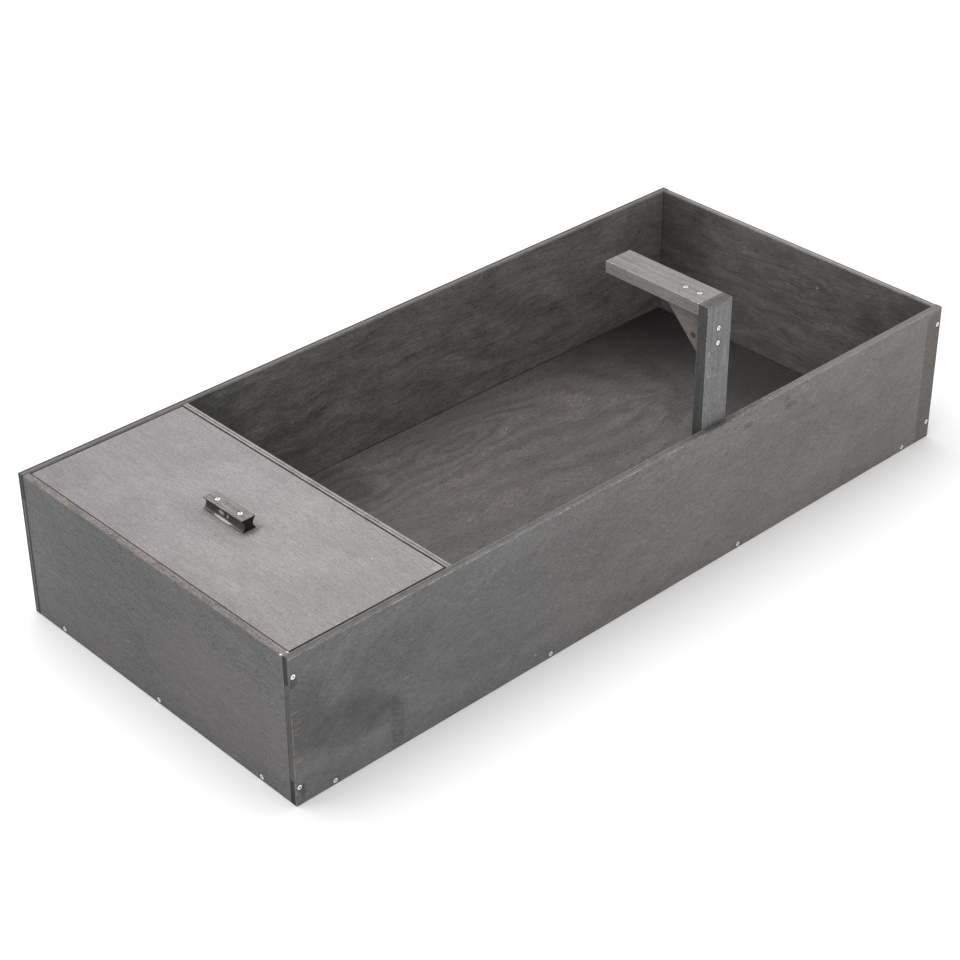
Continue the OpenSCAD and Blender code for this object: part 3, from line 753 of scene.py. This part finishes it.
FINISHES = {
    "front_panel": dict(
        grain=X, thick=Y, seed=3.1, swirl=9.0,
        tones={"": (100, 99, 98), "-y": ((93, 93, 93), (106, 102, 98.5)), "+y": (96, 93, 91)},
        rim=[(0.0, (99, 98, 97)), (0.2, (82, 82, 82)), (0.34, (94, 94, 94)), (0.5, (83, 83, 82)),
             (0.62, (70, 70, 70)), (0.7, (87, 87, 87)), (0.85, (92, 92, 92)), (1.0, (84, 84, 84))],
        worn=(148, 146, 143), wear=1.2,
        fibre=0.5, dash=0.2, pore=0.22, grit=0.85, fuzz=0.25, cloud=0.4, wide=0.3, strokes=0.28,
        painted=[
            # the end grain at the near corner
            ((-500, -219.4, 164), (1.2, 3.2, 17), 0.85), ((-500, -219.4, 14), (1.2, 3.2, 16), 0.85),
            ((-500, -220.5, 90), (1.2, 4.6, 90), 0.2), ((-500, -216.8, 90), (1.2, 0.8, 90), 0.75),
            # the band along the far end
            ((488, -225, 86), (13.5, 2, 88), 0.3),
        ],
        darker=[
            # the cloudy stain low at the near end
            ((-424, -225, 66), (50, 8, 26), 0.26, 0.45, 0.5),
            ((-486, -225, 98), (34, 8, 42), 0.28, 0.6, 0.8),
            ((-386, -225, 54), (26, 8, 15), 0.2, 0.4, 0.6),
            ((-440, -225, 78), (34, 8, 22), 0.1, 0.6, 0.8),
            ((-414, -225, 94), (20, 8, 24), 0.12, 0.5, 0.6),
            ((-367, -225, 32), (9, 8, 36), 0.22, 0.5, 0.5),
            ((-362, -225, 124), (52, 8, 28), 0.12, 0.6, 0.8),
            ((-240, -225, 60), (80, 8, 30), 0.06),
            # the paler top, the post's shadow painted on the rim, and a pale length of the rim
            ((0, -225, 168), (560, 6, 20), -0.13),
            ((105, -219, 180), (34, 8, 3), 0.3),
            ((420, -220.5, 181), (280, 14, 2.5), -0.14),
            # spots, and two stains beside the near corner's screws
            ((154, -225, 161), (8, 4, 3.5), 0.34), ((226, -225, 158), (11, 4, 4), 0.34),
            ((219, -225, 168), (5, 4, 6), 0.25), ((269, -225, 138), (4, 4, 1.6), 0.35),
            ((-495, -225, 150), (5, 4, 5), 0.4), ((-491, -225, 15), (3, 4, 9), 0.4),
        ],
        touches=[
            # rust-coloured wood where the near corner is knocked
            ((-497, -225, 115), (4, 2, 0.6), RUST, 0.5), ((-493, -225, 101), (4, 2, 0.7), RUST, 0.5),
            ((-494, -225, 94), (4, 2, 0.8), RUST, 0.4), ((-497, -225, 88), (4, 2, 0.6), RUST, 0.35),
            ((-495, -225, 54), (4, 2, 0.8), RUST, 0.5), ((-499.8, -225, 70), (0.5, 0.5, 55), RUST, 0.4),
            # a pale scratch, and the warm rim at the far end
            ((-354, -225, 82), (3.2, 2, 0.8), (150, 150, 146), 0.5),
            ((440, -220.5, 181), (260, 14, 2.5), (126, 118, 112), 0.4),
        ]),
    "back_panel": dict(
        grain=X, thick=Y, seed=7.7, swirl=9.0,
        tones={"": (100, 99, 98), "-y": ((98, 98, 97), (105, 101, 98)), "+y": (104, 102, 100)},
        rim=[(0.0, (50, 49, 48)), (0.2, (69, 68, 67)), (0.38, (108, 107, 106)), (0.58, (101, 100, 99)),
             (0.72, (60, 59, 58)), (1.0, (54, 53, 52))],
        worn=(120, 119, 117), fibre_tone=(112, 101, 93), calm={"+y": 0.5},
        stretch=2.0, fibre=1.2, dash=0.3, pore=0.35, grit=0.9, fuzz=0.35, cloud=0.7, wide=0.4,
        rings=0.2, field=(16.0, 4.0, 0.8), hills=[(-60, 120, 150, 40, 3.0), (260, 60, 120, 46, 3.0)],
        painted=[
            # the end grain at the near corner
            ((-500, 220.5, 90), (1.2, 4.6, 90), 0.4), ((-500, 220.5, 165), (1.2, 4.6, 16), 0.6),
            ((-500, 217.2, 90), (1.2, 1.4, 90), 0.75),
            # painted shade in the corner with the base
            ((0, 216, 9.4), (492, 1.2, 0.8), 0.6),
        ],
        darker=[
            # beside the divider, and at the far corner
            ((-255, 216, 120), (50, 8, 80), 0.32), ((-150, 216, 60), (40, 8, 40), 0.15),
            ((450, 216, 110), (50, 8, 80), 0.12),
        ]),
    "near_end_panel": dict(
        grain=Y, thick=X, seed=1.3, swirl=8.0,
        tones={"": (92, 92, 92), "-x": ((88.5, 88, 88.5), (85.5, 85.5, 86))},
        rim=[(0.0, (88, 84, 82)), (0.2, (112, 105, 101)), (0.5, (110, 104, 100)), (0.8, (112, 106, 103)),
             (1.0, (104, 99, 96))],
        rim_rough=1.8,
        worn=(128, 122, 117), fibre=0.9, dash=0.2, pore=0.2, grit=1.5, fuzz=0.3, cloud=0.3, wide=0.2,
        strokes=0.3, slant=14,
        darker=[
            # the paler sides and the darker middle
            ((-500, 192, 80), (4, 22, 70), -0.1), ((-500, -200, 110), (4, 16, 70), -0.08),
            ((-500, 60, 110), (4, 90, 60), 0.08),
            # two lengths of the rim, and the back corner
            ((-500, 60, 180), (4, 60, 5), 0.12), ((-495, -120, 180), (6, 40, 2), 0.12),
            ((-500, 215, 150), (3, 8, 40), 0.1),
        ],
        touches=[
            # white chips at the front corner
            ((-491.5, -214, 180), (1.3, 1.6, 1.5), WHITE_CHIP, 1.0),
            ((-499, -213, 180), (1.1, 1.4, 1.5), WHITE_CHIP, 0.9),
            # where the stain is warmer
            ((-500, -110, 70), (4, 110, 60), (98, 91, 91), 0.3),
            ((-500, 120, 15), (4, 90, 20), (96, 90, 89), 0.3),
        ]),
    "far_end_panel": dict(
        grain=Y, thick=X, seed=11.9, swirl=9.0,
        tones={"": (100, 99, 98), "-x": (100, 97, 96)},
        rim=[(0.0, (62, 61, 60)), (0.2, (94, 93, 92)), (0.45, (140, 139, 138)), (0.7, (116, 115, 114)),
             (0.85, (86, 85, 84)), (1.0, (118, 117, 116))],
        worn=(145, 144, 142), fibre_tone=(112, 102, 96), calm={"+x": 0.55},
        stretch=2.0, fibre=1.0, dash=0.24, pore=0.3, grit=0.7, fuzz=0.3, cloud=0.6, wide=0.3,
        rings=0.16, field=(18.0, 4.0, 0.8), hills=[(20, 130, 70, 22, 3.0), (-60, 130, 60, 18, 2.0)],
        painted=[
            # painted shade in the corners with the base and the back panel
            ((490, 0, 9.4), (1.2, 216, 0.8), 0.6), ((490, 215.6, 95), (1.2, 0.9, 86), 0.5),
        ],
        darker=[
            # darker patches, and painted shade deep in the back and front corners (the two tall ones);
            # below 0 a paler patch
            ((489, -60, 130), (8, 60, 14), 0.16), ((489, 20, 160), (8, 40, 12), 0.14),
            ((489, -10, 100), (8, 46, 12), 0.14),
            ((489, 195, 120), (8, 60, 90), 0.4), ((489, 110, 70), (8, 36, 16), 0.12),
            ((489, -185, 100), (8, 70, 90), 0.3), ((489, 40, 60), (8, 80, 40), -0.08),
        ],
        touches=[((490, -46, 139), (1, 1.1, 1.1), (190, 188, 186), 0.8)]),      # a pale speck
    "divider_panel": dict(
        grain=Y, thick=X, seed=5.3,
        tones={"": (88, 86, 85)},
        rim=[(0.0, (112, 109, 107)), (0.22, (152, 149, 147)), (0.46, (72, 70, 69)),
             (0.72, (152, 149, 147)), (1.0, (104, 102, 100))],
        worn=(150, 148, 146), fibre=0.5, dash=0.15, pore=0.2, grit=0.5, cloud=0.4, wide=0.3),
    "base_panel": dict(
        grain=X, thick=Z, seed=9.2, swirl=10.0,
        tones={"": ((91, 87, 85), (88, 84, 82))},
        rim=[(0.0, (90, 89, 88)), (0.5, (104, 103, 102)), (1.0, (90, 89, 88))],
        fibre_tone=(102, 94, 88),
        stretch=1.2, fibre=0.55, dash=0.2, pore=0.28, grit=0.9, fuzz=0.15, cloud=0.2, wide=0.15,
        rings=0.24, field=(5.0, 3.0, 0.75), ring_ground=0.3,
        hills=[(-108, 158, 70, 52, 5.5), (60, 150, 105, 38, 5.0),
               (235, 80, 125, 85, 3.5), (295, 62, 28, 9, 1.5)],
        darker=[
            # painted shade over the far end and its back corner
            ((547, 60, 9), (205, 700, 8), 0.70, 0.12, 1.0),
            ((480, 255, 9), (240, 170, 8), 0.36, 0.2, 0.45),
            ((480, 185, 9), (90, 60, 8), 0.33, 0.2, 1.0),
            # a stain by the back panel, near the divider
            ((-115, 172, 9), (42, 56, 8), 0.32, 0.4, 1.0),
        ]),
    "lid_panel": dict(
        grain=Y, thick=Z, seed=2.4, swirl=5.0,
        tones={"": (100, 97, 95), "+z": ((131, 127.5, 126.5), (129.5, 125, 126.5))},
        rim=[(0.0, (70, 66, 63)), (0.5, (92, 87, 83)), (1.0, (84, 80, 77))],
        worn=(140, 134, 130), wear=0.6,
        fibre=0.5, dash=0.1, pore=0.16, grit=0.72, fuzz=0.12, cloud=0.14, wide=0.1,
        darker=[
            # a painted highlight over the middle of the lid, and a paler patch towards the back
            ((-380, -10, 180), (90, 120, 6), -0.15), ((-310, 120, 180), (30, 80, 6), -0.05),
            # the handle's shadow, painted on the lid in front of its near end
            ((-390, -31.5, 180), (13, 5, 3), 0.45),
            # darker patches on the near half
            ((-455, 60, 180), (30, 50, 6), 0.08), ((-470, 190, 180), (30, 34, 6), 0.12),
            ((-410, 20, 180), (20, 60, 6), 0.1), ((-484, -40, 180), (10, 170, 6), 0.08),
        ],
        touches=[
            # the rubbed corner
            ((-298, -210, 180), (5.0, 4.0, 2), (158, 152, 143), 0.5),
            ((-292.4, -205, 180), (0.5, 12, 2), (178, 172, 164), 0.4),
            # nicks in the front arris
            ((-428, -213, 180), (3.0, 0.7, 1.5), (180, 158, 142), 0.6),
            ((-410, -213, 180), (1.4, 0.7, 1.5), (190, 168, 152), 0.6),
            # pale specks
            ((-333, -153, 180), (0.8, 0.9, 1.5), (200, 198, 195), 0.8),
            ((-371, -88, 180), (0.7, 0.8, 1.5), (205, 202, 198), 0.8),
            # dark scratches
            ((-332, 14, 180), (7.0, 0.5, 1.5), (96, 93, 92), 0.5),
            ((-368, 70, 180), (0.5, 14.0, 1.5), (110, 107, 106), 0.35),
        ]),
    "lid_handle": dict(
        grain=Y, thick=Z, seed=4.4, boxy=False,
        # the near end face, looking -y, is painted nearly black as shade
        tones={"": (66, 62, 59), "+z": (121, 118, 118), "-y": (7, 7, 7), "+y": (52, 50, 49)},
        worn=(200, 198, 196), swirl=1.0, stretch=2.0,
        fibre=1.7, dash=0.3, pore=0.5, grit=0.5, fuzz=0.2, cloud=0.4, wide=0.0,
        touches=[
            # the bare wood where the lower lip and the hollow side are broken
            ((-399.7, 3, 181.8), (2.0, 15, 1.5), (204, 202, 198), 0.9),
            ((-397.5, 8.5, 187), (2.6, 5.0, 2.5), (172, 169, 165), 0.9),
            ((-397.5, -2.0, 186.6), (2.6, 1.7, 2.0), (172, 169, 165), 0.8),
        ]),
    "bracket_post": dict(
        BATTEN, grain=Z, thick=Y, seed=6.6, rings=0.10, field=(110.0, 5.0, 0.3),
        # the -x side is painted darker as shade, and the front darker towards its foot by the panel, as
        # painted shade
        tones={"": (96, 95, 94), "-y": ((100, 100, 100), (111, 111, 111)), "-x": (70, 70, 70),
               "+z": (94, 92, 90)},
        worn=(150, 150, 149), stretch=2.0, grit=0.8, fibre=0.8, pore=0.35,
        darker=[((102, -212, 330), (24, 7, 3), 0.3, 0.4, 0.6)],     # the end grain
        touches=[
            # scratches, and a rubbed patch
            ((92, -216, 244.5), (4, 2, 0.7), (160, 160, 158), 0.6),
            ((104, -216, 242.5), (9, 2, 0.6), (150, 150, 148), 0.4),
            ((90, -216, 249), (0.8, 2, 4), (160, 160, 158), 0.5),
            ((91, -216, 272), (1.4, 2, 3), (160, 160, 158), 0.5),
            ((117, -216, 262), (3, 2, 14), (140, 140, 139), 0.3),
        ]),
    "bracket_arm": dict(
        BATTEN, grain=Y, thick=Z, seed=8.8, rings=0.12, field=(95.0, 4.0, 0.3), swirl=1.0,
        tones={"": (104, 102, 100), "+z": (122, 119, 118), "-x": (119, 115, 114)},
        worn=(168, 166, 164), raw=(225, 222, 218), grit=0.5, fibre=0.9),
    "bracket_gusset": dict(
        BATTEN, grain=Y, thick=X, seed=12.3, fibre=0.5, cloud=0.4,
        tones={"": (112, 107, 103)},
        worn=(140, 137, 134),
        darker=[((96, -188, 283), (4, 3.6, 3.6), 0.7)]),
    "near_lid_cleat": dict(CLEAT, seed=14.2),
    "divider_lid_cleat": dict(CLEAT, seed=15.8),
}

for node, look in FINISHES.items():
    chips = [(from_box(node, *place), mm(*half)) for place, half in CHIPS.get(node, ())]
    cutters = [chip_cutter(chips, len(node))] if chips else []
    ease = 0.5 * MM
    if node == "lid_handle":
        cutters.append(groove_cutter(node, count=8, depth=0.3 * MM, width=0.45 * MM))
        ease = 0.3 * MM
    board = eased_board(node, ease, cutters)
    board.data.materials.clear()
    board.data.materials.append(stained_wood(node, **look))

zinc_plate = zinc("zinc_plate", (0.97, 0.96, 0.94, 1), (0.86, 0.87, 0.88, 1), 0.3)
# a dark copy of the zinc for the walls of the cross recess: painted shade
recess_painted_shade = zinc("recess_painted_shade", (0.30, 0.30, 0.29, 1), (0.12, 0.12, 0.12, 1), 0.45)
for group in SCREW_GROUPS:
    dress_screws(group, zinc_plate, recess_painted_shade)


# ------------------------------------------------------------------ the stage

def camera(place, azimuth, elevation, roll, lens):
    """A camera at a place, aimed in degrees. Azimuth 0 looks along +Y and 90 along +X."""
    data = bpy.data.cameras.new("camera")
    data.lens = lens
    data.sensor_width = 36
    data.clip_start, data.clip_end = 0.05, 60
    eye = link(bpy.data.objects.new("camera", data))
    turn = Matrix.Rotation(math.radians(-azimuth), 4, "Z")
    tilt = Matrix.Rotation(math.radians(90 - elevation), 4, "X")
    lean = Matrix.Rotation(math.radians(roll), 4, "Z")
    eye.matrix_world = Matrix.Translation(place) @ turn @ tilt @ lean
    bpy.context.scene.camera = eye


def soft_light(name, place, aim, size, power):
    """A square softbox at a place, turned towards a point."""
    data = bpy.data.lights.new(name, "AREA")
    data.shape = "SQUARE"
    data.size = size
    data.energy = power
    lamp = link(bpy.data.objects.new(name, data))
    lamp.location = place
    lamp.rotation_euler = (Vector(aim) - Vector(place)).to_track_quat("-Z", "Y").to_euler()


def pale_floor():
    """A sheet of pale paper, just under the object's feet."""
    half, drop = 8, 0.3 * MM
    corners = [(-half, -half), (half, -half), (half, half), (-half, half)]
    mesh = bpy.data.meshes.new("floor")
    mesh.from_pydata([(x, y, -drop) for x, y in corners], [], [(0, 1, 2, 3)])
    f = Finish("floor_paper")
    tooth = f.noise(f.place, 2.5, 0.0, 2.0)
    pale = f.blend(tooth, (0.90, 0.90, 0.90, 1), (0.93, 0.93, 0.93, 1))
    mesh.materials.append(f.close(pale, 0.9, tooth, 0.02 * MM, Specular_IOR_Level=0.1))
    link(bpy.data.objects.new("floor", mesh))


def white_world(strength):
    world = bpy.data.worlds.new("studio")
    world.use_nodes = True
    background = world.node_tree.nodes["Background"]
    background.inputs["Color"].default_value = (1, 1, 1, 1)
    background.inputs["Strength"].default_value = strength
    bpy.context.scene.world = world


camera(Vector((-1.546, -1.607, 1.494)), azimuth=43.11, elevation=32.87, roll=-0.31, lens=86.5)
pale_floor()
white_world(strength=0.85)
soft_light("overhead", (-0.3, 0.5, 2.6), (0, 0, 0.1), size=2.6, power=52)
soft_light("front_fill", (-1.6, -2.6, 1.3), (0, 0, 0.1), size=1.8, power=10)
bpy.context.scene.view_settings.view_transform = "Standard"
